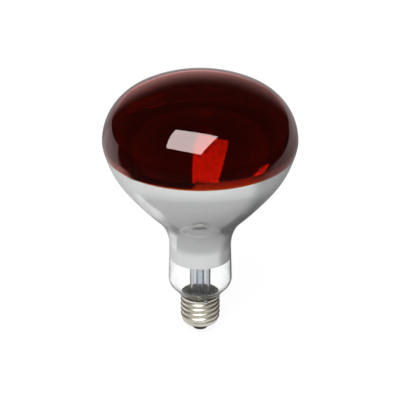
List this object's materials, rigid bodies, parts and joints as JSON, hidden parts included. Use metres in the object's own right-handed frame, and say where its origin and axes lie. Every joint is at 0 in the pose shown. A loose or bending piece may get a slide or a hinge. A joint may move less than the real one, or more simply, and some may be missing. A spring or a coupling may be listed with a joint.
{
  "type": "infrared heat bulb",
  "caption": "Infrared reflector heat bulb: domed ruby face, mirrored bowl tapering to a clear neck with a glass stem inside, and a threaded screw cap.",
  "frame": {"origin": "tip of the centre contact, on the bulb's axis", "axes": "+Z along the bulb's axis from the cap towards the red face, -Y towards the picture's viewer"},
  "size_m": [0.1254, 0.1254, 0.1808],
  "materials": {
    "clear_glass": "polished blown glass",
    "mirror_film": "bright vapour-deposited metal",
    "ruby_coat": "glossy transparent ruby",
    "stem_glass": "clear drawn glass",
    "lead_metal": "drawn nickel wire",
    "copper_wire": "drawn copper wire",
    "tungsten": "dull grey coil",
    "deflector_metal": "plain sheet",
    "shell_metal": "nickel-plated rolled sheet",
    "contact_metal": "plain brass",
    "solder": "dull soft solder",
    "black_glass": "glossy black insulating glass",
    "cement": "baked cap cement"
  },
  "bodies": {
    "root": {"glass_envelope": "clear_glass", "mirror_coating": "mirror_film", "red_lacquer": "ruby_coat", "stem_tube": "stem_glass", "exhaust_tube": "stem_glass", "arbor_rod": "stem_glass", "heat_deflector": "deflector_metal", "inner_lead_left": "lead_metal", "inner_lead_right": "lead_metal", "outer_lead_centre": "copper_wire", "outer_lead_side": "copper_wire", "filament": "tungsten", "filament_support_1": "lead_metal", "filament_support_2": "lead_metal", "filament_support_3": "lead_metal", "filament_support_4": "lead_metal", "filament_support_5": "lead_metal", "screw_shell": "shell_metal", "cap_insulator": "black_glass", "centre_contact": "contact_metal", "centre_solder": "solder", "side_solder": "solder", "cap_cement": "cement"}
  },
  "joints": []
}
